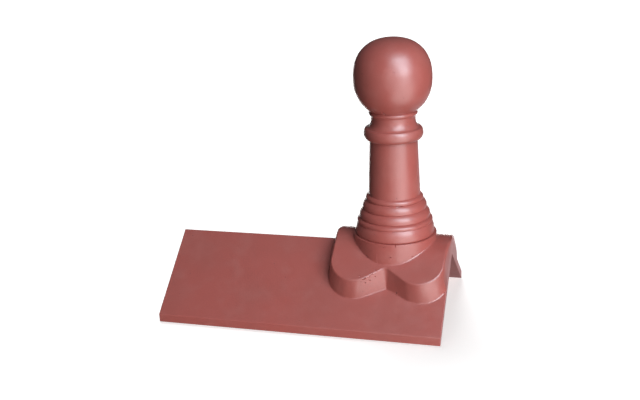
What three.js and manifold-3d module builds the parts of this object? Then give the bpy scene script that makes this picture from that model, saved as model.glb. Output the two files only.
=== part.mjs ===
// A ball-topped roof finial cast in one with the angle ridge tile that it stands on.
// Millimetres, +Z up. X runs along the ridge, and the finial stands near the +X end.
// The origin is on the ground under the middle of the tile.

import * as THREE from 'three';
import { mergeVertices } from 'three/addons/utils/BufferGeometryUtils.js';
import Module from 'manifold-3d';

const manifold = await Module();
manifold.setup();

// Ridge tile
const tileLength = 450;
const tileHalfSpan = 127;
const roofPitch = THREE.MathUtils.degToRad(37.5);
const tileWall = 11.5;
const eaveFoot = 1.5;

// Finial, and where it stands on the ridge
const finialFromTileEnd = 90;
const drumRadius = 65;
const drumAboveRidge = 19;

// Ribbed base, from the drum upwards: the width of each band at its foot, and its height
const firstRibRadius = 61.5;
const firstRibHeight = 18.5;
const secondRibRadius = 59;
const secondRibHeight = 8;
const thirdRibRadius = 55.2;
const thirdRibHeight = 14;
const fourthRibRadius = 50;
const fourthRibHeight = 14;
const fifthRibRadius = 44.8;
const fifthRibHeight = 8;
const ribGroove = 1.2;
const ribEdge = 2;

// Shaft
const shaftHeight = 86.8;
const shaftRadiusBelow = 40.3;
const shaftRadiusAbove = 36.8;

// Collar: a quarter round below and an ovolo above it
const collarRadius = 45.5;
const collarRoundHeight = 9.6;
const collarOvoloHeight = 9.1;
const collarBrimRadius = 42;

// Neck: a cove with its waist near the top, and a soft bead under the ball
const coveHeight = 19.4;
const coveWaistRadius = 33.9;
const coveWaistBelowBead = 5.8;
const beadHeight = 7;
const beadRadius = 37.2;
const beadProud = 1;

// Ball, slightly squared off in profile, and more so above its middle
const ballRadius = 59.5;
const ballSquarenessAbove = 2.3;
const ballSquarenessBelow = 2.2;

// Saddle pad over the ridge, its outline on the tile and on its own top face. Its fold over the
// ridge flattens from the inner side towards the end of the tile.
const padRise = 28.6;
const padInnerFoldRadius = 70;
const padOuterFoldRadius = 98;
const padFromFinial = -2;
const padFoot = { halfWidth: 94.3, reach: 106.5, notch: 85, lobeRadius: 42 };
const padTop = { halfWidth: 87.8, reach: 89.7, notch: 63.2, lobeRadius: 38 };

// Fineness of the round forms
const turnSides = 48;
const ballSides = 22;
const lobeSides = 12;
const foldSides = 16;

// Heights and places that follow from the sizes above
const steepness = Math.tan(roofPitch);
const wallUpright = tileWall / Math.cos(roofPitch);
const eaveHeight = wallUpright - eaveFoot * steepness;
const ridgeHeight = eaveHeight + tileHalfSpan * steepness;
const finialX = tileLength / 2 - finialFromTileEnd;
const padX = finialX + padFromFinial;
const padApexHeight = ridgeHeight + padRise / Math.cos(roofPitch);
const ribs = [
  { radius: firstRibRadius, height: firstRibHeight },
  { radius: secondRibRadius, height: secondRibHeight },
  { radius: thirdRibRadius, height: thirdRibHeight },
  { radius: fourthRibRadius, height: fourthRibHeight },
  { radius: fifthRibRadius, height: fifthRibHeight },
];

// A manifold solid from a three.js geometry
function toSolid(geometry) {
  const bare = geometry.clone();
  bare.deleteAttribute('normal');
  bare.deleteAttribute('uv');
  const merged = mergeVertices(bare, 1e-4);
  const corners = merged.index.array;
  const kept = [];
  for (let i = 0; i < corners.length; i += 3) {
    const [a, b, c] = [corners[i], corners[i + 1], corners[i + 2]];
    if (a !== b && b !== c && c !== a) {
      kept.push(a, b, c);
    }
  }
  const vertProperties = new Float32Array(merged.attributes.position.array);
  const triVerts = new Uint32Array(kept);
  return new manifold.Manifold(new manifold.Mesh({ numProp: 3, vertProperties, triVerts }));
}

// A three.js geometry from a manifold solid
function toGeometry(solid) {
  const mesh = solid.getMesh();
  const geometry = new THREE.BufferGeometry();
  const position = new Float32Array(mesh.numVert * 3);
  for (let i = 0; i < mesh.numVert; i += 1) {
    for (let k = 0; k < 3; k += 1) {
      position[i * 3 + k] = mesh.vertProperties[i * mesh.numProp + k];
    }
  }
  geometry.setAttribute('position', new THREE.BufferAttribute(position, 3));
  geometry.setIndex(new THREE.BufferAttribute(new Uint32Array(mesh.triVerts), 1));
  geometry.computeVertexNormals();
  return geometry;
}

// A section drawn in Y and Z, drawn out along X
function alongRidge(section, fromX, toX) {
  const geometry = new THREE.ExtrudeGeometry(section, { depth: toX - fromX, bevelEnabled: false });
  const acrossToX = new THREE.Matrix4().makeBasis(
    new THREE.Vector3(0, 1, 0),
    new THREE.Vector3(0, 0, 1),
    new THREE.Vector3(1, 0, 0),
  );
  geometry.applyMatrix4(acrossToX);
  geometry.translate(fromX, 0, 0);
  return geometry;
}

// Points on an elliptical arc, its angles in degrees
function arc(centre, radiusX, radiusY, fromAngle, toAngle, sides) {
  const points = [];
  for (let i = 0; i <= sides; i += 1) {
    const angle = THREE.MathUtils.degToRad(fromAngle + ((toAngle - fromAngle) * i) / sides);
    points.push(new THREE.Vector2(
      centre.x + radiusX * Math.cos(angle),
      centre.y + radiusY * Math.sin(angle),
    ));
  }
  return points;
}

// The tile: two wings of even thickness with upright eave faces and a narrow foot
function ridgeTile() {
  const footInside = tileHalfSpan - eaveFoot;
  const section = new THREE.Shape([
    new THREE.Vector2(-tileHalfSpan, 0),
    new THREE.Vector2(-footInside, 0),
    new THREE.Vector2(0, ridgeHeight - wallUpright),
    new THREE.Vector2(footInside, 0),
    new THREE.Vector2(tileHalfSpan, 0),
    new THREE.Vector2(tileHalfSpan, eaveHeight),
    new THREE.Vector2(0, ridgeHeight),
    new THREE.Vector2(-tileHalfSpan, eaveHeight),
  ]);
  return toSolid(alongRidge(section, -tileLength / 2, tileLength / 2));
}

// All that lies below the middle of the tile's wall, which the cast body above is cut off at
function belowTileWall() {
  const height = ridgeHeight - wallUpright / 2;
  const reach = 2 * tileHalfSpan;
  const section = new THREE.Shape([
    new THREE.Vector2(-reach, height - reach * steepness),
    new THREE.Vector2(reach, height - reach * steepness),
    new THREE.Vector2(0, height),
  ]);
  return toSolid(alongRidge(section, -tileLength, tileLength));
}

// One band of the ribbed base: a shoulder that steepens downwards, over a small rounded edge
function ribProfile(foot, footRadius, top, topRadius) {
  const shoulderFoot = foot + ribEdge;
  const points = arc(
    { x: footRadius - ribEdge, y: shoulderFoot },
    ribEdge,
    ribEdge,
    -75,
    0,
    2,
  );
  const steps = 4;
  for (let i = 1; i <= steps; i += 1) {
    const share = i / steps;
    points.push(new THREE.Vector2(
      footRadius - (footRadius - topRadius) * share ** 2,
      shoulderFoot + (top - shoulderFoot) * share,
    ));
  }
  return points;
}

// The finial's outline from its foot to its crown, as radius and height
function finialProfile() {
  const foot = ridgeHeight - wallUpright - drumRadius * steepness;
  const points = [new THREE.Vector2(0, foot), new THREE.Vector2(drumRadius, foot)];
  let height = ridgeHeight + drumAboveRidge;
  points.push(new THREE.Vector2(drumRadius, height));

  ribs.forEach((rib, i) => {
    const above = ribs[i + 1];
    const topRadius = above ? above.radius - ribGroove : shaftRadiusBelow;
    points.push(...ribProfile(height, rib.radius, height + rib.height, topRadius));
    height += rib.height;
  });

  height += shaftHeight;
  points.push(new THREE.Vector2(shaftRadiusAbove, height));
  height += collarRoundHeight;
  points.push(...arc(
    { x: shaftRadiusAbove, y: height },
    collarRadius - shaftRadiusAbove,
    collarRoundHeight,
    -88,
    0,
    5,
  ));
  const collarTop = height + collarOvoloHeight;
  points.push(...arc(
    { x: collarBrimRadius, y: height },
    collarRadius - collarBrimRadius,
    collarOvoloHeight,
    18,
    90,
    4,
  ));
  height = collarTop + coveHeight;
  const waist = height - coveWaistBelowBead;
  points.push(...arc(
    { x: collarBrimRadius, y: waist },
    collarBrimRadius - coveWaistRadius,
    waist - collarTop,
    262,
    180,
    7,
  ));
  const halfBead = beadHeight / 2;
  const beadFoot = beadRadius - halfBead / 2;
  points.push(...arc({ x: beadFoot, y: waist }, beadFoot - coveWaistRadius, coveWaistBelowBead, 165, 105, 3));
  points.push(...arc({ x: beadRadius - halfBead, y: height + halfBead }, halfBead, halfBead, -60, 60, 4));
  points.push(...ballProfile(height + beadHeight));
  return points;
}

// The ball's outline from its joint with the neck to its crown
function ballProfile(foot) {
  const jointRadius = beadRadius - beadProud;
  const across = jointRadius / ballRadius;
  const down = (1 - across ** ballSquarenessBelow) ** (1 / ballSquarenessBelow);
  const jointAngle = Math.atan2(down ** (ballSquarenessBelow / 2), across ** (ballSquarenessBelow / 2));
  const points = [];
  for (let i = 0; i <= ballSides; i += 1) {
    const angle = -jointAngle + ((Math.PI / 2 + jointAngle) * i) / ballSides;
    const power = 2 / (angle > 0 ? ballSquarenessAbove : ballSquarenessBelow);
    const rise = Math.sign(angle) * Math.abs(Math.sin(angle)) ** power;
    points.push(new THREE.Vector2(
      i === ballSides ? 0 : ballRadius * Math.cos(angle) ** power,
      foot + ballRadius * (down + rise),
    ));
  }
  return points;
}

// The turned finial, still with a plain foot below the tile
function turnedFinial() {
  const geometry = new THREE.LatheGeometry(finialProfile(), turnSides);
  geometry.rotateX(Math.PI / 2);
  geometry.translate(finialX, 0, 0);
  return toSolid(geometry);
}

// Half of the pad's outline on one wing, as X and the distance down the slope from the ridge:
// a straight side, a round lobe, and a straight flank in to the notch
function halfPadOutline(size, aboveRidge) {
  const lobe = new THREE.Vector2(size.halfWidth - size.lobeRadius, size.reach - size.lobeRadius);
  const notch = new THREE.Vector2(0, size.notch);
  const toNotch = notch.clone().sub(lobe);
  const facing = Math.atan2(toNotch.y, toNotch.x);
  const flank = facing - Math.acos(size.lobeRadius / toNotch.length());
  return [
    new THREE.Vector2(size.halfWidth, -aboveRidge),
    ...arc(lobe, size.lobeRadius, size.lobeRadius, 0, THREE.MathUtils.radToDeg(flank), lobeSides),
    notch,
  ];
}

// The pad's whole outline on one wing, the same number of points for any size
function padOutline(size, aboveRidge) {
  const right = halfPadOutline(size, aboveRidge);
  const left = right.slice(0, -1).reverse();
  return [...right, ...left.map((point) => new THREE.Vector2(-point.x, point.y))];
}

// A closed form between two outlines with the same number of places. The flat outline is the low
// one as it is seen from outside.
function loft(low, high, flat) {
  const count = low.length;
  const position = [...low, ...high].flatMap((place) => place.toArray());
  const index = [];
  THREE.ShapeUtils.triangulateShape(flat, []).forEach(([a, b, c]) => {
    index.push(a, b, c);
    index.push(count + c, count + b, count + a);
  });
  for (let i = 0; i < count; i += 1) {
    const next = (i + 1) % count;
    index.push(i, count + i, next);
    index.push(next, count + i, count + next);
  }
  const geometry = new THREE.BufferGeometry();
  geometry.setAttribute('position', new THREE.Float32BufferAttribute(position, 3));
  geometry.setIndex(index);
  return geometry;
}

// The near half of the pad, laid on the near wing and cut off at the middle of the ridge. Its
// walls run straight from the foot outline through the top outline.
function nearPad(mirrored) {
  const foot = padOutline(padFoot, padRise);
  const top = padOutline(padTop, padRise);
  const outline = (share) => foot.map((point, i) => point.clone().lerp(top[i], share));
  const low = outline(-tileWall / padRise);
  const lowPlaces = low.map((point) => new THREE.Vector3(point.x, -point.y, -tileWall));
  const highPlaces = outline(2).map((point) => new THREE.Vector3(point.x, -point.y, 2 * padRise));
  const block = loft(lowPlaces, highPlaces, low);
  block.rotateX(roofPitch);
  block.translate(0, 0, ridgeHeight);
  if (mirrored) {
    block.rotateZ(Math.PI);
  }
  block.translate(padX, 0, 0);
  const side = mirrored ? 1 : -1;
  const half = new THREE.BoxGeometry(2 * tileLength, 2 * tileHalfSpan, 4 * ridgeHeight);
  half.translate(0, side * tileHalfSpan, 0);
  return toSolid(block).intersect(toSolid(half));
}

// The section of the fold over the ridge, down to the ground, in Y and Z
function foldSection(radius) {
  const turn = THREE.MathUtils.radToDeg(roofPitch);
  const centre = { x: 0, y: padApexHeight - radius / Math.cos(roofPitch) };
  const eave = padApexHeight - tileHalfSpan * steepness;
  return [
    new THREE.Vector2(-tileHalfSpan, 0),
    new THREE.Vector2(tileHalfSpan, 0),
    new THREE.Vector2(tileHalfSpan, eave),
    ...arc(centre, radius, radius, 90 - turn, 90 + turn, foldSides),
    new THREE.Vector2(-tileHalfSpan, eave),
  ];
}

// The saddle pad: both halves under one rounded fold, flush with the end of the tile
function saddlePad() {
  const outer = foldSection(padOuterFoldRadius);
  const inner = foldSection(padInnerFoldRadius);
  const fold = loft(
    outer.map((point) => new THREE.Vector3(tileLength / 2, point.x, point.y)),
    inner.map((point) => new THREE.Vector3(padX - padFoot.halfWidth, point.x, point.y)),
    outer,
  );
  return nearPad(false).add(nearPad(true)).intersect(toSolid(fold));
}

function ridgeFinial() {
  const below = belowTileWall();
  const body = turnedFinial().add(saddlePad()).subtract(below);
  return toGeometry(ridgeTile().add(body));
}

const terracotta = new THREE.MeshStandardMaterial({ color: 0xa8645c, roughness: 0.5, metalness: 0 });
const finial = new THREE.Mesh(ridgeFinial(), terracotta);
finial.name = 'ridge_finial';

const model = new THREE.Group();
model.add(finial);

export default model;
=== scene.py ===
"""The finished look of a ball-topped roof finial on its angle ridge tile, in cast terracotta colour."""

from math import acos, atan2, cos, pi, radians, sin, tan

import bpy
from mathutils import Matrix, Vector


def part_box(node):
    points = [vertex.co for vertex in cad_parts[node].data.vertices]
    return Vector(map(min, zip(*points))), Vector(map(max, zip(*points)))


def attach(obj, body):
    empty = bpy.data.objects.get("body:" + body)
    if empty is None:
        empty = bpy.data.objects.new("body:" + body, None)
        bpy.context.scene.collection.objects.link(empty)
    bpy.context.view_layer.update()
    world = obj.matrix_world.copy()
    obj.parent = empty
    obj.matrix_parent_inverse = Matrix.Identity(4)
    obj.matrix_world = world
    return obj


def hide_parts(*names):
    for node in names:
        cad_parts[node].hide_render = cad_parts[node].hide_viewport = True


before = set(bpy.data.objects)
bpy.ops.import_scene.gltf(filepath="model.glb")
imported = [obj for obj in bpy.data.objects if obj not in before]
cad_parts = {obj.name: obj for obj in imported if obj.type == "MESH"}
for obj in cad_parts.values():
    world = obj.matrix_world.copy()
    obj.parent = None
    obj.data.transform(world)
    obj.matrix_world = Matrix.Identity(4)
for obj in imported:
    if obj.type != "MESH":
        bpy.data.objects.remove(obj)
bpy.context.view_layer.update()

bl_info = {
    "name": "Ridge finial",
    "version": (1, 0, 0),
    "blender": (4, 5, 0),
    "location": "3D View > Sidebar > Finial",
    "description": "Builds a ball-topped finial on an angle ridge tile, its finish and its studio",
    "category": "Add Mesh",
}

MM = 0.001
NODE = "ridge_finial"
LOW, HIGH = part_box(NODE)
HALF_SPAN = HIGH.y


class TileSizes(bpy.types.PropertyGroup):
    """Sizes of the angle ridge tile"""

    pitch: bpy.props.FloatProperty(
        name="Pitch", description="Slope of each wing", default=radians(37.5), subtype="ANGLE")
    wall: bpy.props.FloatProperty(
        name="Wall", description="Thickness of the wings", default=11.5 * MM, unit="LENGTH")
    eave_foot: bpy.props.FloatProperty(
        name="Eave foot", description="Width of the foot of each wing", default=1.5 * MM, unit="LENGTH")
    edge: bpy.props.FloatProperty(
        name="Edge", description="Rounding of the tile's edges", default=0.7 * MM, unit="LENGTH")


class FinialSizes(bpy.types.PropertyGroup):
    """Sizes of the turned finial"""

    from_end: bpy.props.FloatProperty(
        name="From the end", description="Finial's axis from the tile's end", default=90 * MM, unit="LENGTH")
    drum_radius: bpy.props.FloatProperty(
        name="Drum radius", description="Radius of the drum on the pad", default=65 * MM, unit="LENGTH")
    drum_rise: bpy.props.FloatProperty(
        name="Drum rise", description="Top of the drum above the ridge", default=19 * MM, unit="LENGTH")
    rib_groove: bpy.props.FloatProperty(
        name="Rib groove", description="Depth of the creases between ribs", default=1.2 * MM, unit="LENGTH")
    rib_edge: bpy.props.FloatProperty(
        name="Rib edge", description="Rounding at the foot of each rib", default=2 * MM, unit="LENGTH")
    sides: bpy.props.IntProperty(
        name="Sides", description="Steps round the turned body", default=160, min=24)


class PadSizes(bpy.types.PropertyGroup):
    """Sizes of the saddle pad under the finial"""

    rise: bpy.props.FloatProperty(
        name="Rise", description="Thickness of the pad over the wings", default=28.6 * MM, unit="LENGTH")
    inner_fold: bpy.props.FloatProperty(
        name="Inner fold", description="Rounding over the ridge at the inner side",
        default=70 * MM, unit="LENGTH")
    outer_fold: bpy.props.FloatProperty(
        name="Outer fold", description="Rounding over the ridge at the tile's end",
        default=98 * MM, unit="LENGTH")
    offset: bpy.props.FloatProperty(
        name="Offset", description="Pad's middle from the finial's axis", default=-2 * MM, unit="LENGTH")
    edge: bpy.props.FloatProperty(
        name="Edge", description="Rounding of the pad's edges", default=2 * MM, unit="LENGTH")
    crown_edge: bpy.props.FloatProperty(
        name="Crown edge", description="Rounding of the pad's ends over the ridge",
        default=4.5 * MM, unit="LENGTH")
    fillet: bpy.props.FloatProperty(
        name="Fillet", description="Rounding where drum, pad and tile meet", default=1.8 * MM, unit="LENGTH")
    waver: bpy.props.FloatProperty(
        name="Waver", description="Unevenness of the pad's trimmed foot", default=0.35 * MM, unit="LENGTH")


class FinishColours(bpy.types.PropertyGroup):
    """Colours of the cast surface"""

    body: bpy.props.FloatVectorProperty(
        name="Body", description="Main terracotta colour", default=(0.432, 0.094, 0.075),
        subtype="COLOR", min=0, max=1)
    deep: bpy.props.FloatVectorProperty(
        name="Deep", description="Colour of the darker patches", default=(0.364, 0.093, 0.075),
        subtype="COLOR", min=0, max=1)
    pale: bpy.props.FloatVectorProperty(
        name="Pale", description="Colour of the chalky patches", default=(0.462, 0.145, 0.121),
        subtype="COLOR", min=0, max=1)
    floor: bpy.props.FloatVectorProperty(
        name="Floor", description="Colour of the studio floor", default=(0.90, 0.90, 0.90),
        subtype="COLOR", min=0, max=1)


# Ribs of the base from the drum upwards: radius at the foot, and height
RIBS = (
    (61.5 * MM, 18.5 * MM),
    (59 * MM, 8 * MM),
    (55.2 * MM, 14 * MM),
    (50 * MM, 14 * MM),
    (44.8 * MM, 8 * MM),
)
SHOULDER_POWER = 2.8

# Shaft, and its radius at the foot and at the top
SHAFT_HEIGHT = 86.8 * MM
SHAFT_BELOW = 40.3 * MM
SHAFT_ABOVE = 36.8 * MM

# Collar, cove and bead
COLLAR_RADIUS = 45.5 * MM
COLLAR_ROUND = 9.6 * MM
COLLAR_OVOLO = 9.1 * MM
COLLAR_BRIM = 42 * MM
COVE_HEIGHT = 19.4 * MM
COVE_WAIST = 33.9 * MM
WAIST_BELOW_BEAD = 5.8 * MM
BEAD_HEIGHT = 7 * MM
BEAD_RADIUS = 37.2 * MM
BEAD_PROUD = 1 * MM

# Ball, a little squared
BALL_RADIUS = 59.5 * MM
BALL_SQUARENESS_ABOVE = 2.3
BALL_SQUARENESS_BELOW = 2.2

# Where the drum meets the pad: below this height over the ridge, and this near to the drum's radius
DRUM_FOOT = 15 * MM
DRUM_SLACK = 0.15 * MM

# Outlines of the pad on the tile and on its own top face: half width, reach, notch, lobe radius, notch radius
PAD_FOOT = (94.3 * MM, 106.5 * MM, 85 * MM, 42 * MM, 5 * MM)
PAD_TOP = (87.8 * MM, 89.7 * MM, 63.2 * MM, 38 * MM, 9 * MM)
LOBE_STEPS = 36
FLANK_STEPS = 6
NOTCH_STEPS = 4
PAD_OVERSHOOT = 0.03
CROWN_REACH = 45 * MM

# How near two places are one place: in a sound mesh, beside a cut, and along a trimmed edge or a corner
TIGHT = 0.001 * MM
CLOSE = 0.02 * MM
TRIMMED = 0.25 * MM
CORNERED = 0.4 * MM

# Angles between faces: at a pad edge to round, a corner to fill, an edge shaded sharp, and in one flat face
ROUNDED_ANGLE = radians(28)
CORNER_ANGLE = radians(25)
SHARP_ANGLE = radians(32)
FLAT_ANGLE = radians(0.3)

# Pits, nicks and chips in millimetres: both ends from the finial's axis on the ground, the way out of the
# surface, width and depth
BASE_PIT = ((14.7, -74.6, 56.2), (14.7, -74.6, 56.2), (-0.40, -0.91, -0.13), 3.6, 2.6)
PAD_MARKS = (
    ((-34.1, -84.8, 79.5), (-30.5, -83.1, 81.1), (0.47, -0.87, -0.14), 3.2, 2.8),
    ((-18.5, -72.2, 91.4), (-18.5, -72.2, 91.4), (0.0, -0.61, 0.79), 2.5, 1.6),
    ((-14.9, -73.9, 90.1), (-14.9, -73.9, 90.1), (0.25, -0.75, 0.5), 2.5, 1.7),
    ((-25.5, -80.3, 83.0), (-24.0, -79.4, 84.2), (0.53, -0.84, -0.15), 1.7, 1.4),
    ((-21.7, -78.3, 85.7), (-20.3, -77.5, 86.4), (0.53, -0.84, -0.15), 1.5, 1.3),
    ((-17.6, -75.1, 81.6), (-17.6, -75.1, 81.6), (0.53, -0.84, -0.15), 2.2, 1.8),
    ((-26.3, -80.0, 77.5), (-23.3, -77.8, 76.2), (0.53, -0.84, -0.15), 1.3, 1.2),
    ((-31.0, -82.0, 73.2), (-31.0, -82.0, 73.2), (0.60, -0.79, -0.15), 2.4, 2.0),
    ((-37.3, -85.6, 76.1), (-37.3, -85.6, 76.1), (0.35, -0.93, -0.14), 2.0, 1.2),
    ((-39.9, -82.8, 83.3), (-37.8, -82.2, 83.8), (0.0, -0.61, 0.79), 2.1, 1.4),
)
TURNED_MARKS = (
    ((4.7, -64.8, 109.8), (4.7, -64.8, 109.8), (0.06, -1.0, 0.0), 2.8, 2.4),
    ((36.9, -53.5, 109.0), (36.9, -53.5, 109.0), (0.57, -0.82, 0.0), 2.5, 1.6),
    ((12.6, -63.7, 130.4), (12.9, -63.9, 126.4), (0.19, -0.95, 0.25), 2.1, 2.4),
    ((9.9, -43.2, 183.6), (19.2, -39.9, 183.7), (0.23, -0.67, 0.71), 3.3, 2.0),
    ((0.0, -44.3, 183.4), (0.0, -44.3, 183.4), (0.0, -0.7, 0.71), 2.4, 1.4),
    ((-8.4, -40.8, 328.5), (-4.9, -37.0, 324.9), (-0.12, -0.85, -0.5), 4.2, 3.6),
    ((13.0, -56.3, 391.8), (13.0, -56.3, 391.8), (0.21, -0.96, 0.2), 2.1, 1.2),
    ((28.5, -20.7, 304.1), (28.5, -20.7, 304.1), (0.76, -0.53, 0.36), 2.4, 1.4),
    ((-35.3, -54.6, 106.7), (-35.3, -54.6, 106.7), (-0.54, -0.84, 0.0), 2.7, 1.8),
    ((-5.7, -64.7, 126.0), (-4.1, -64.9, 126.3), (-0.07, -1.0, 0.0), 1.4, 1.2),
)

# Camera, from the finial's axis on the ground
CAMERA_PLACE = (260.8 * MM, -1313 * MM, 636.8 * MM)
CAMERA_YAW = radians(16.21)
CAMERA_PITCH = radians(18.69)
CAMERA_ROLL = radians(-2.57)
FOCAL_PIXELS = 903.9
PHOTO_WIDTH = 640
SENSOR = 36

# The white room round the part: its floor lies just under the tile's feet
ROOM_WIDTH = 12
ROOM_HEIGHT = 7
FLOOR_GAP = 0.3 * MM

# Windows that light the casting: name, azimuth from the near side towards +X and elevation in degrees,
# distance, width and height in metres, watts and colour
LIGHT_AIM = 0.25
WINDOWS = (
    ("key_window", (42, 37), 3.0, (2.1, 2.8), 104, (0.80, 0.98, 1.09)),
    ("middle_window", (46, 10), 1.9, (0.9, 0.9), 9, (0.93, 0.98, 1.03)),
    ("bounce_window", (44, -30), 1.5, (1.5, 1.5), 13, (0.96, 1.0, 1.0)),
    ("rim_window", (163, -35), 1.3, (1.2, 1.0), 1.9, (1.0, 0.9, 0.95)),
    ("back_window", (196, -15), 3.0, (2.0, 1.2), 42, (1.0, 0.97, 0.95)),
    ("front_fill", (4, 5), 2.0, (0.7, 1.2), 3.5, (1.0, 0.95, 0.95)),
)
FLOOR_LIGHT = ("floor_light", (-150, 54), 9.0, (6.0, 6.0), 560, (0.98, 1.0, 1.0))
FLOOR_GLOW = 0.7
WORLD_GLOW = 0.055


def settings():
    return bpy.context.scene.finial


def wall_upright():
    """The wings' thickness measured straight up."""
    tile = settings().tile
    return tile.wall / cos(tile.pitch)


def ridge_height():
    tile = settings().tile
    return wall_upright() + (HALF_SPAN - tile.eave_foot) * tan(tile.pitch)


def finial_x():
    return HIGH.x - settings().turned.from_end


def pad_x():
    return finial_x() + settings().pad.offset


def deselect():
    if bpy.context.object and bpy.context.object.mode != "OBJECT":
        bpy.ops.object.mode_set(mode="OBJECT")
    bpy.ops.object.select_all(action="DESELECT")


def make_active(piece):
    deselect()
    piece.select_set(True)
    bpy.context.view_layer.objects.active = piece


def start_chain(name, place):
    """A new piece that is one vertex, in edit mode."""
    deselect()
    bpy.ops.mesh.primitive_plane_add(size=MM, location=(0, 0, 0))
    piece = bpy.context.object
    piece.name = name
    piece.data.name = name
    bpy.ops.object.mode_set(mode="EDIT")
    bpy.ops.mesh.select_mode(type="VERT")
    bpy.ops.mesh.select_all(action="SELECT")
    bpy.ops.mesh.merge(type="CENTER")
    bpy.ops.transform.translate(value=place)
    return piece


def extend_chain(points):
    """Extrudes the selected end vertex from point to point."""
    for here, there in zip(points, points[1:]):
        step = Vector(there) - Vector(here)
        bpy.ops.mesh.extrude_region_move(TRANSFORM_OT_translate={"value": step})


def chain(name, points):
    """A piece that is an open line through the points, left in edit mode and all selected."""
    piece = start_chain(name, points[0])
    extend_chain(points)
    bpy.ops.mesh.select_all(action="SELECT")
    return piece


def plate(name, points):
    """A piece that is one flat face inside the points, left in edit mode and all selected."""
    piece = chain(name, points)
    bpy.ops.mesh.edge_face_add()
    bpy.ops.mesh.select_all(action="SELECT")
    return piece


def prism(name, section, from_x, to_x):
    """A section in Y and Z, drawn out along X."""
    piece = plate(name, [(from_x, y, z) for y, z in section])
    bpy.ops.mesh.extrude_region_move(TRANSFORM_OT_translate={"value": (to_x - from_x, 0, 0)})
    finish_shell(piece)
    return piece


def loft(name, low, high):
    """A closed piece whose two ends are outlines with the same number of points."""
    piece = plate(name, low)
    bpy.ops.object.mode_set(mode="OBJECT")
    other = plate(name, high)
    bpy.ops.object.mode_set(mode="OBJECT")
    make_active(piece)
    other.select_set(True)
    bpy.ops.object.join()
    bpy.ops.object.mode_set(mode="EDIT")
    bpy.ops.mesh.select_mode(type="EDGE")
    bpy.ops.mesh.select_all(action="SELECT")
    bpy.ops.mesh.delete(type="ONLY_FACE")
    bpy.ops.mesh.select_all(action="SELECT")
    bpy.ops.mesh.bridge_edge_loops()
    bpy.ops.mesh.select_all(action="SELECT")
    bpy.ops.mesh.fill_holes(sides=0)
    finish_shell(piece)
    return piece


def select_edges(piece, wanted):
    """Selects the edges whose two end places pass the test, and goes into edit mode."""
    make_active(piece)
    bpy.ops.object.mode_set(mode="EDIT")
    bpy.ops.mesh.select_mode(type="EDGE")
    bpy.ops.mesh.select_all(action="DESELECT")
    bpy.ops.object.mode_set(mode="OBJECT")
    places = [vertex.co for vertex in piece.data.vertices]
    for edge in piece.data.edges:
        edge.select = wanted(places[edge.vertices[0]], places[edge.vertices[1]])
    bpy.ops.object.mode_set(mode="EDIT")


def bevel_edges(piece, wanted, width, segments):
    select_edges(piece, wanted)
    bpy.ops.mesh.bevel(offset=width, segments=segments, affect="EDGES")
    bpy.ops.object.mode_set(mode="OBJECT")


def finish_shell(piece, doubles=CLOSE):
    """Merges doubles, points the faces out and leaves edit mode."""
    bpy.ops.object.mode_set(mode="EDIT")
    bpy.ops.mesh.select_all(action="SELECT")
    bpy.ops.mesh.remove_doubles(threshold=doubles)
    bpy.ops.mesh.delete_loose()
    bpy.ops.mesh.select_all(action="SELECT")
    bpy.ops.mesh.normals_make_consistent(inside=False)
    bpy.ops.object.mode_set(mode="OBJECT")


def apply_modifier(piece, kind, **values):
    make_active(piece)
    modifier = piece.modifiers.new(kind.title(), kind)
    for key, value in values.items():
        setattr(modifier, key, value)
    bpy.ops.object.modifier_apply(modifier=modifier.name)


def combine(piece, other, operation):
    """Joins, cuts or keeps the common part of two pieces, and deletes the other."""
    apply_modifier(piece, "BOOLEAN", operation=operation, solver="EXACT", object=other)
    bpy.data.objects.remove(other)


def mirror_over_ridge(piece):
    """Keeps the near half and repeats it on the far side."""
    apply_modifier(
        piece, "MIRROR", use_axis=(False, True, False), use_bisect_axis=(False, True, False),
        use_bisect_flip_axis=(False, True, False), bisect_threshold=TIGHT, merge_threshold=5 * TIGHT)
    finish_shell(piece)


def triangulate(piece):
    make_active(piece)
    bpy.ops.object.mode_set(mode="EDIT")
    bpy.ops.mesh.select_all(action="SELECT")
    bpy.ops.mesh.quads_convert_to_tris()
    bpy.ops.object.mode_set(mode="OBJECT")


def cutter(start, end, out, width, depth):
    """An egg along a mark, sunk to its depth; places from the finial's axis on the ground, in millimetres."""
    start, end, out = Vector(start), Vector(end), Vector(out).normalized()
    along = (end - start) if end != start else out.orthogonal()
    along = (along - along.dot(out) * out).normalized()
    turn = Matrix((along, out.cross(along), out)).transposed().to_euler()
    place = (start + end) / 2 * MM + Vector((finial_x(), 0, 0))
    half_length = ((end - start).length + width) / 2 * MM
    bpy.ops.mesh.primitive_ico_sphere_add(
        subdivisions=2, radius=1, location=place, rotation=turn,
        scale=(half_length, width / 2 * MM, depth * MM))
    bpy.ops.object.transform_apply(location=True, rotation=True, scale=True)
    return bpy.context.object


def cut_marks(piece, marks):
    """Cuts the pits, nicks and chips that the casting has."""
    triangulate(piece)
    cutters = [cutter(*mark) for mark in marks]
    make_active(cutters[0])
    for each in cutters:
        each.select_set(True)
    bpy.ops.object.join()
    combine(piece, cutters[0], "DIFFERENCE")
    finish_shell(piece, TIGHT)


def cut_pit(piece, mark):
    """Cuts one pit where fillets already are."""
    egg = cutter(*mark)
    apply_modifier(piece, "BOOLEAN", operation="DIFFERENCE", solver="FAST", object=egg)
    bpy.data.objects.remove(egg)


def dissolve_flats(piece):
    """Merges the faces that lie in one plane."""
    make_active(piece)
    bpy.ops.object.mode_set(mode="EDIT")
    bpy.ops.mesh.select_all(action="SELECT")
    bpy.ops.mesh.dissolve_limited(angle_limit=FLAT_ANGLE)
    bpy.ops.object.mode_set(mode="OBJECT")


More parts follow.
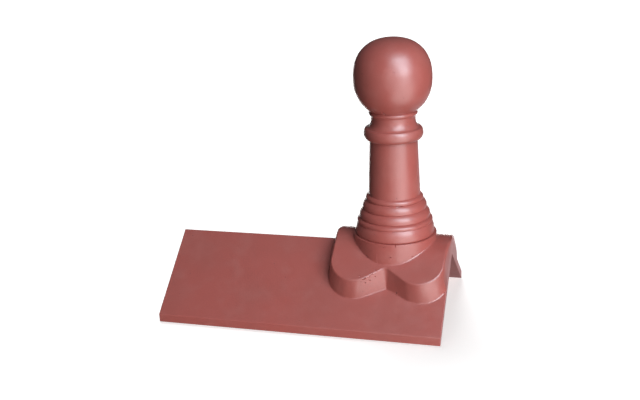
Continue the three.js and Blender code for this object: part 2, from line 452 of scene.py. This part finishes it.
def arc(centre, radius_x, radius_y, start, end, sides):
    """Points on an elliptical arc, its angles in degrees."""
    points = []
    for i in range(sides + 1):
        angle = radians(start + (end - start) * i / sides)
        points.append((centre[0] + radius_x * cos(angle), centre[1] + radius_y * sin(angle)))
    return points


def rib_outline(foot, foot_radius, top, top_radius):
    """One rib: a small rounded edge, and above it a shoulder that steepens downwards."""
    edge = settings().turned.rib_edge
    shoulder = foot + edge
    points = arc((foot_radius - edge, shoulder), edge, edge, -75, 0, 5)
    steps = 9
    for i in range(1, steps + 1):
        share = i / steps
        radius = foot_radius - (foot_radius - top_radius) * share ** SHOULDER_POWER
        points.append((radius, shoulder + (top - shoulder) * share))
    return points


def ball_outline(joint_radius, joint_height):
    """The slightly squared ball from its joint with the neck to its crown."""
    across = joint_radius / BALL_RADIUS
    drop = (1 - across ** BALL_SQUARENESS_BELOW) ** (1 / BALL_SQUARENESS_BELOW)
    joint = atan2(drop ** (BALL_SQUARENESS_BELOW / 2), across ** (BALL_SQUARENESS_BELOW / 2))
    steps = 56
    points = []
    for i in range(steps + 1):
        angle = -joint + (pi / 2 + joint) * i / steps
        power = 2 / (BALL_SQUARENESS_ABOVE if angle > 0 else BALL_SQUARENESS_BELOW)
        rise = abs(sin(angle)) ** power * (1 if angle > 0 else -1)
        radius = 0 if i == steps else BALL_RADIUS * cos(angle) ** power
        points.append((radius, joint_height + BALL_RADIUS * (drop + rise)))
    return points


def finial_outline():
    """The turned outline from the foot to the crown, as radius and height."""
    turned = settings().turned
    slope = tan(settings().tile.pitch)
    foot = ridge_height() - wall_upright() - turned.drum_radius * slope
    height = ridge_height() + turned.drum_rise
    lip = 0.8 * MM
    points = [(0, foot), (turned.drum_radius, foot)]
    points += arc((turned.drum_radius - lip, height - lip), lip, lip, 0, 90, 4)
    for i, (radius, rise) in enumerate(RIBS):
        top_radius = RIBS[i + 1][0] - turned.rib_groove if i + 1 < len(RIBS) else SHAFT_BELOW
        points += rib_outline(height, radius, height + rise, top_radius)
        height += rise
    height += SHAFT_HEIGHT
    points.append((SHAFT_ABOVE, height))
    height += COLLAR_ROUND
    points += arc((SHAFT_ABOVE, height), COLLAR_RADIUS - SHAFT_ABOVE, COLLAR_ROUND, -88, 0, 12)
    points += arc((COLLAR_BRIM, height), COLLAR_RADIUS - COLLAR_BRIM, COLLAR_OVOLO, 8, 90, 10)
    collar_top = height + COLLAR_OVOLO
    height = collar_top + COVE_HEIGHT
    waist = height - WAIST_BELOW_BEAD
    points += arc((COLLAR_BRIM, waist), COLLAR_BRIM - COVE_WAIST, waist - collar_top, 262, 180, 16)
    half_bead = BEAD_HEIGHT / 2
    bead_foot = BEAD_RADIUS - half_bead / 2
    points += arc((bead_foot, waist), bead_foot - COVE_WAIST, WAIST_BELOW_BEAD, 172, 100, 10)
    points += arc((BEAD_RADIUS - half_bead, height + half_bead), half_bead, half_bead, -60, 60, 10)
    height += BEAD_HEIGHT
    points += ball_outline(BEAD_RADIUS - BEAD_PROUD, height)
    return points


def half_pad_outline(size, above_ridge):
    """Side, lobe and flank of the pad on one wing, as X and distance down the slope."""
    half_width, reach, notch, lobe_radius, notch_radius = size
    lobe = (half_width - lobe_radius, reach - lobe_radius)
    to_notch = Vector((-lobe[0], notch - lobe[1]))
    flank = atan2(to_notch.y, to_notch.x) - acos(lobe_radius / to_notch.length)
    turn = flank * 180 / pi
    corner = (0, notch + notch_radius / sin(flank))
    inner = arc(corner, notch_radius, notch_radius, turn + 180, 270, NOTCH_STEPS)
    outer = arc(lobe, lobe_radius, lobe_radius, 0, turn, LOBE_STEPS)
    shares = [i / FLANK_STEPS for i in range(1, FLANK_STEPS)]
    straight = [tuple(Vector(outer[-1]).lerp(Vector(inner[0]), share)) for share in shares]
    return [(half_width, -above_ridge), *outer, *straight, *inner]


def pad_outline(size, above_ridge):
    right = half_pad_outline(size, above_ridge)
    return right + [(-x, down) for x, down in reversed(right[:-1])]


def on_near_wing(point, rise):
    """A place on the near wing: along X from the pad's middle, down the slope, and out from the tile."""
    pitch = settings().tile.pitch
    x, down = point
    return Vector((
        pad_x() + x,
        -down * cos(pitch) - rise * sin(pitch),
        ridge_height() - down * sin(pitch) + rise * cos(pitch),
    ))


def above_wing(place):
    """How far a place is out from the tile's slope."""
    pitch = settings().tile.pitch
    return abs(place.y) * sin(pitch) + (place.z - ridge_height()) * cos(pitch)


def wavering(point, i):
    """Moves a foot point a little in and out, as a trimmed edge does."""
    amount = settings().pad.waver * (0.6 * sin(i * 0.4) + 0.4 * sin(i * 0.9 + 1))
    return (point[0], point[1] + amount)


class FINIAL_OT_ridge_tile(bpy.types.Operator):
    """Draw the V section of the tile out along the ridge and round its edges"""

    bl_idname = "finial.ridge_tile"
    bl_label = "Ridge tile"

    def execute(self, context):
        tile = context.scene.finial.tile
        top = ridge_height()
        eave = top - HALF_SPAN * tan(tile.pitch)
        inside = HALF_SPAN - tile.eave_foot
        half = [(HALF_SPAN, 0), (HALF_SPAN, eave), (0, top), (-HALF_SPAN, eave), (-HALF_SPAN, 0)]
        section = half + [(-inside, 0), (0, top - wall_upright()), (inside, 0)]
        piece = prism("tile", section, LOW.x, HIGH.x)
        bevel_edges(piece, lambda a, b: abs(a.z - eave) < tile.edge and abs(b.z - eave) < tile.edge
                    and abs(a.x - b.x) > tile.edge, 2 * tile.edge, 4)
        apply_modifier(piece, "BEVEL", width=tile.edge, segments=3, limit_method="ANGLE",
                       angle_limit=radians(30))
        return {"FINISHED"}


class FINIAL_OT_turned_body(bpy.types.Operator):
    """Spin the finial's outline round its axis and cut its foot to the roof's slopes"""

    bl_idname = "finial.turned_body"
    bl_label = "Turned finial"

    def execute(self, context):
        turned = context.scene.finial.turned
        pitch = context.scene.finial.tile.pitch
        axis = Vector((finial_x(), 0, 0))
        points = [(axis.x + radius, 0, height) for radius, height in finial_outline()]
        piece = chain("turned", points)
        bpy.ops.mesh.spin(steps=turned.sides, angle=2 * pi, center=axis, axis=(0, 0, 1))
        finish_shell(piece)
        apex = ridge_height() - wall_upright() / 2
        across = 2 * turned.drum_radius
        section = [(0, apex), (across, apex - across * tan(pitch)), (-across, apex - across * tan(pitch))]
        combine(piece, prism("under_tile", section, LOW.x, HIGH.x), "DIFFERENCE")
        cut_marks(piece, TURNED_MARKS)
        return {"FINISHED"}


class FINIAL_OT_saddle_pad(bpy.types.Operator):
    """Bridge the pad's foot and top outlines, repeat it over the ridge and trim it to its fold"""

    bl_idname = "finial.saddle_pad"
    bl_label = "Saddle pad"

    def execute(self, context):
        pad = context.scene.finial.pad
        past_ridge = 3 * pad.rise
        trimmed = [wavering(point, i) for i, point in enumerate(pad_outline(PAD_FOOT, past_ridge))]
        foot = [on_near_wing(point, 0) for point in trimmed]
        top = [on_near_wing(point, pad.rise) for point in pad_outline(PAD_TOP, past_ridge)]
        low = [a.lerp(b, -PAD_OVERSHOOT) for a, b in zip(foot, top)]
        high = [a.lerp(b, 1 + PAD_OVERSHOOT) for a, b in zip(foot, top)]
        piece = loft("pad", low, high)
        mirror_over_ridge(piece)
        combine(piece, self.fold(), "INTERSECT")
        finish_shell(piece, TRIMMED)
        self.round_edges(piece)
        cut_marks(piece, PAD_MARKS)
        return {"FINISHED"}

    def fold(self):
        """The fold over the ridge, down to the ground."""
        pad = settings().pad
        inner = self.fold_section(pad_x() - PAD_FOOT[0], pad.inner_fold)
        outer = self.fold_section(HIGH.x, pad.outer_fold)
        return loft("fold", inner, outer)

    def fold_section(self, x, radius):
        """The roof's section at the pad's top face, rounded over the ridge."""
        pitch = settings().tile.pitch
        apex = ridge_height() + settings().pad.rise / cos(pitch)
        turn = pitch * 180 / pi
        centre = (0, apex - radius / cos(pitch))
        eave = apex - HALF_SPAN * tan(pitch)
        crown = arc(centre, radius, radius, 90 - turn, 90 + turn, 24)
        section = [(-HALF_SPAN, 0), (HALF_SPAN, 0), (HALF_SPAN, eave), *crown, (-HALF_SPAN, eave)]
        return [(x, y, z) for y, z in section]

    def round_edges(self, piece):
        """Rounds the edges of the pad's top face, and most where they cross the ridge."""
        pad = settings().pad
        weights = piece.data.attributes.new("bevel_weight_edge", "FLOAT", "EDGE")
        normals = {}
        for face in piece.data.polygons:
            for key in face.edge_keys:
                normals.setdefault(key, []).append(face.normal)
        places = [vertex.co for vertex in piece.data.vertices]
        for edge in piece.data.edges:
            sides = normals[edge.key]
            turned = sides[0].angle(sides[-1], 0)
            middle = (places[edge.vertices[0]] + places[edge.vertices[1]]) / 2
            near_ridge = max(0, 1 - abs(middle.y) / CROWN_REACH)
            share = pad.edge / pad.crown_edge
            if turned > ROUNDED_ANGLE and above_wing(middle) > pad.rise / 2:
                weights.data[edge.index].value = share + (1 - share) * near_ridge ** 0.5
        apply_modifier(piece, "BEVEL", width=pad.crown_edge, segments=4, limit_method="WEIGHT",
                       use_clamp_overlap=False)


class FINIAL_OT_join_casting(bpy.types.Operator):
    """Join tile, pad and finial into one casting and round the corners between them"""

    bl_idname = "finial.join_casting"
    bl_label = "Join the casting"

    def execute(self, context):
        piece = bpy.data.objects["tile"]
        combine(piece, bpy.data.objects["pad"], "UNION")
        combine(piece, bpy.data.objects["turned"], "UNION")
        piece.name = "finial_casting"
        piece.data.name = "finial_casting"
        finish_shell(piece)
        dissolve_flats(piece)
        self.fill_corners(piece)
        cut_pit(piece, BASE_PIT)
        make_active(piece)
        bpy.ops.object.shade_smooth_by_angle(angle=SHARP_ANGLE)
        apply_modifier(piece, "WEIGHTED_NORMAL", mode="FACE_AREA_WITH_ANGLE", keep_sharp=True)
        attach(piece, "root")
        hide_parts(NODE)
        return {"FINISHED"}

    def fill_corners(self, piece):
        """Small fillets where the drum meets the pad and the pad meets the tile."""
        select_edges(piece, self.is_corner)
        bpy.ops.mesh.remove_doubles(threshold=CORNERED)
        bpy.ops.mesh.delete_loose()
        bpy.ops.object.mode_set(mode="OBJECT")
        weights = piece.data.attributes.get("bevel_weight_edge")
        if weights is None:
            weights = piece.data.attributes.new("bevel_weight_edge", "FLOAT", "EDGE")
        sides = {}
        for face in piece.data.polygons:
            for key in face.edge_keys:
                sides.setdefault(key, []).append(face)
        places = [vertex.co for vertex in piece.data.vertices]
        for edge in piece.data.edges:
            one, other = sides[edge.key][0], sides[edge.key][-1]
            concave = one.normal.dot(other.center - one.center) > 0
            sharp = one.normal.angle(other.normal, 0) > CORNER_ANGLE
            a, b = (places[i] for i in edge.vertices)
            weights.data[edge.index].value = 1.0 if concave and sharp and self.is_corner(a, b) else 0.0
        apply_modifier(piece, "BEVEL", width=settings().pad.fillet, segments=3, limit_method="WEIGHT",
                       use_clamp_overlap=False)
        finish_shell(piece)

    def is_corner(self, a, b):
        return self.at_corner(a) and self.at_corner(b)

    def at_corner(self, place):
        """Whether a place is where the pad meets the tile, or the drum meets the pad."""
        turned = settings().turned
        down = abs(place.y) / cos(settings().tile.pitch)
        clear = settings().pad.edge
        beside_pad = pad_x() - PAD_FOOT[0] - clear < place.x < HIGH.x - clear
        near_ridge = down < clear
        past_lobes = down > PAD_FOOT[1] + clear
        on_tile = beside_pad and not near_ridge and not past_lobes and abs(above_wing(place)) < CLOSE
        from_axis = Vector((place.x - finial_x(), place.y)).length
        on_drum = abs(from_axis - turned.drum_radius) < DRUM_SLACK and place.z < ridge_height() + DRUM_FOOT
        return on_tile or on_drum


def new_material(name):
    material = bpy.data.materials.new(name)
    material.use_nodes = True
    tree = material.node_tree
    shader = tree.nodes["Principled BSDF"]
    return material, tree, shader


def add_node(tree, kind, inputs=None, **values):
    """A new node, its inputs linked to sockets or set to values."""
    node = tree.nodes.new(kind)
    for key, value in values.items():
        setattr(node, key, value)
    for key, value in (inputs or {}).items():
        if isinstance(value, bpy.types.NodeSocket):
            tree.links.new(value, node.inputs[key])
        else:
            node.inputs[key].default_value = value
    return node


def noise(tree, place, scale, detail):
    inputs = {"Vector": place, "Scale": scale, "Detail": detail}
    return add_node(tree, "ShaderNodeTexNoise", inputs).outputs["Fac"]


def spread(tree, value, from_low, from_high, to_low, to_high):
    """Maps one range of a value onto another, and holds it there."""
    inputs = {
        "Value": value, "From Min": from_low, "From Max": from_high, "To Min": to_low, "To Max": to_high}
    return add_node(tree, "ShaderNodeMapRange", inputs).outputs["Result"]


def times(tree, one, other):
    return add_node(tree, "ShaderNodeMath", {0: one, 1: other}, operation="MULTIPLY").outputs["Value"]


def mix(tree, share, one, other):
    """Mixes two colours, each a socket or a plain colour."""
    one, other = (c if isinstance(c, bpy.types.NodeSocket) else (*c, 1) for c in (one, other))
    node = add_node(tree, "ShaderNodeMix", {0: share, 6: one, 7: other}, data_type="RGBA")
    return node.outputs[2]


def bump(tree, height, distance, below=None):
    inputs = {"Height": height, "Distance": abs(distance)}
    if below is not None:
        inputs["Normal"] = below
    return add_node(tree, "ShaderNodeBump", inputs, invert=distance < 0).outputs["Normal"]


class FINIAL_OT_cast_finish(bpy.types.Operator):
    """Give the casting its satin terracotta surface"""

    bl_idname = "finial.cast_finish"
    bl_label = "Cast finish"

    def execute(self, context):
        material, tree, shader = new_material("cast_terracotta")
        place = add_node(tree, "ShaderNodeTexCoord").outputs["Object"]
        pits = self.pin_holes(tree, place)
        tree.links.new(self.colour(tree, place, pits), shader.inputs["Base Color"])
        gloss = spread(tree, noise(tree, place, 60, 4), 0.3, 0.7, 0.32, 0.44)
        tree.links.new(gloss, shader.inputs["Roughness"])
        tree.links.new(self.relief(tree, place, pits), shader.inputs["Normal"])
        shader.inputs["Specular IOR Level"].default_value = 1.0
        shader.inputs["Coat Weight"].default_value = 0.3
        shader.inputs["Coat Roughness"].default_value = 0.34
        bpy.data.objects["finial_casting"].data.materials.clear()
        bpy.data.objects["finial_casting"].data.materials.append(material)
        return {"FINISHED"}

    def pin_holes(self, tree, place):
        """One at the bottom of sparse small holes, zero elsewhere: it sinks the holes and sets the painted
        shade inside them.
        """
        cells = add_node(tree, "ShaderNodeTexVoronoi", {"Vector": place, "Scale": 130})
        hole = spread(tree, cells.outputs["Distance"], 0.05, 0.13, 1, 0)
        chance = add_node(tree, "ShaderNodeSeparateColor", {"Color": cells.outputs["Color"]}).outputs["Red"]
        return times(tree, hole, spread(tree, chance, 0.9, 0.91, 0, 1))

    def colour(self, tree, place, pits):
        """Broad darker clouds, chalky bloom and fine speckle over the body colour, with painted shade
        darkening the bottom of the small holes.
        """
        colours = settings().colours
        clouds = spread(tree, noise(tree, place, 9, 3), 0.4, 0.65, 0, 0.6)
        bloom = spread(tree, noise(tree, place, 38, 5), 0.5, 0.75, 0, 0.35)
        mixed = mix(tree, clouds, colours.body, colours.deep)
        mixed = mix(tree, bloom, mixed, colours.pale)
        speckle = spread(tree, noise(tree, place, 1300, 1), 0.3, 0.7, 0.95, 1.05)
        # Painted shade: the colour is darkened to 0.55 at the bottom of each small hole, in place of the
        # shade that falls inside it
        shade = times(tree, speckle, spread(tree, pits, 0, 1, 1, 0.55))
        return add_node(tree, "ShaderNodeHueSaturation", {"Color": mixed, "Value": shade}).outputs["Color"]

    def relief(self, tree, place, pits):
        """Bumps too fine to model: a soft waviness, sandy grain and the small holes."""
        wavy = bump(tree, noise(tree, place, 110, 2), 0.16 * MM)
        grain = bump(tree, noise(tree, place, 900, 3), 0.02 * MM, wavy)
        return bump(tree, pits, -0.25 * MM, grain)


class FINIAL_OT_studio(bpy.types.Operator):
    """Lay the pale floor, light the studio and place the camera"""

    bl_idname = "finial.studio"
    bl_label = "Studio"

    def execute(self, context):
        scene = context.scene
        deselect()
        bpy.ops.mesh.primitive_cube_add(size=1, location=(0, 0, ROOM_HEIGHT / 2 - FLOOR_GAP))
        bpy.ops.transform.resize(value=(ROOM_WIDTH, ROOM_WIDTH, ROOM_HEIGHT))
        bpy.ops.object.transform_apply(location=True, scale=True)
        floor = context.object
        floor.name = "floor"
        material, tree, shader = new_material("studio_floor")
        shader.inputs["Base Color"].default_value = (*scene.finial.colours.floor, 1)
        shader.inputs["Roughness"].default_value = 0.9
        shader.inputs["Emission Color"].default_value = (1, 1, 1, 1)
        shader.inputs["Emission Strength"].default_value = FLOOR_GLOW
        floor.data.materials.append(material)
        floor.visible_diffuse = False
        floor.visible_glossy = False
        floor.visible_shadow = False
        casting = bpy.data.objects["finial_casting"]
        for window in WINDOWS:
            self.light(casting, *window)
        self.light(floor, *FLOOR_LIGHT)
        self.world(scene)
        self.camera(scene)
        scene.view_settings.view_transform = "Standard"
        return {"FINISHED"}

    def light(self, lit, name, angles, distance, size, power, colour):
        """A soft window that lights one object."""
        aim = Vector((finial_x(), 0, LIGHT_AIM))
        a, e = (radians(angle) for angle in angles)
        way = Vector((sin(a) * cos(e), -cos(a) * cos(e), sin(e)))
        place = aim + way * distance
        turn = way.to_track_quat("Z", "Y").to_euler()
        bpy.ops.object.light_add(type="AREA", location=place, rotation=turn)
        lamp = bpy.context.object
        lamp.name = name
        lamp.data.shape = "RECTANGLE"
        lamp.data.size = size[0]
        lamp.data.size_y = size[1]
        lamp.data.energy = power
        lamp.data.color = colour
        receivers = bpy.data.collections.new(name)
        receivers.objects.link(lit)
        lamp.light_linking.receiver_collection = receivers

    def world(self, scene):
        world = bpy.data.worlds.new("studio")
        scene.world = world
        world.use_nodes = True
        ground = world.node_tree.nodes["Background"]
        ground.inputs["Color"].default_value = (0.95, 0.97, 1.0, 1)
        ground.inputs["Strength"].default_value = WORLD_GLOW

    def camera(self, scene):
        forward = Vector((
            -sin(CAMERA_YAW) * cos(CAMERA_PITCH),
            cos(CAMERA_YAW) * cos(CAMERA_PITCH),
            -sin(CAMERA_PITCH),
        ))
        level = Vector((cos(CAMERA_YAW), sin(CAMERA_YAW), 0))
        upright = level.cross(forward)
        right = level * cos(CAMERA_ROLL) + upright * sin(CAMERA_ROLL)
        up = upright * cos(CAMERA_ROLL) - level * sin(CAMERA_ROLL)
        turn = Matrix((right, up, -forward)).transposed().to_euler()
        place = Vector((finial_x(), 0, 0)) + Vector(CAMERA_PLACE)
        bpy.ops.object.camera_add(location=place, rotation=turn)
        camera = bpy.context.object
        camera.name = "camera"
        camera.data.sensor_width = SENSOR
        camera.data.lens = FOCAL_PIXELS / PHOTO_WIDTH * SENSOR
        scene.camera = camera


class FinialSettings(bpy.types.PropertyGroup):
    """All that can be set on the finial"""

    tile: bpy.props.PointerProperty(type=TileSizes, name="Tile")
    turned: bpy.props.PointerProperty(type=FinialSizes, name="Finial")
    pad: bpy.props.PointerProperty(type=PadSizes, name="Pad")
    colours: bpy.props.PointerProperty(type=FinishColours, name="Colours")


STEPS = (
    FINIAL_OT_ridge_tile,
    FINIAL_OT_turned_body,
    FINIAL_OT_saddle_pad,
    FINIAL_OT_join_casting,
    FINIAL_OT_cast_finish,
    FINIAL_OT_studio,
)


class FINIAL_PT_panel(bpy.types.Panel):
    """Lists the finial's settings and steps"""

    bl_label = "Ridge finial"
    bl_idname = "FINIAL_PT_panel"
    bl_space_type = "VIEW_3D"
    bl_region_type = "UI"
    bl_category = "Finial"

    def draw(self, context):
        finial = context.scene.finial
        for group in (finial.tile, finial.turned, finial.pad, finial.colours):
            box = self.layout.box()
            for key in group.bl_rna.properties.keys():
                if key not in {"rna_type", "name"}:
                    box.prop(group, key)
        for step in STEPS:
            self.layout.operator(step.bl_idname)


CLASSES = (TileSizes, FinialSizes, PadSizes, FinishColours, FinialSettings, *STEPS, FINIAL_PT_panel)


def register():
    for each in CLASSES:
        bpy.utils.register_class(each)
    bpy.types.Scene.finial = bpy.props.PointerProperty(type=FinialSettings)


def unregister():
    del bpy.types.Scene.finial
    for each in reversed(CLASSES):
        bpy.utils.unregister_class(each)


def main():
    register()
    bpy.ops.finial.ridge_tile()
    bpy.ops.finial.turned_body()
    bpy.ops.finial.saddle_pad()
    bpy.ops.finial.join_casting()
    bpy.ops.finial.cast_finish()
    bpy.ops.finial.studio()


if __name__ == "__main__":
    main()
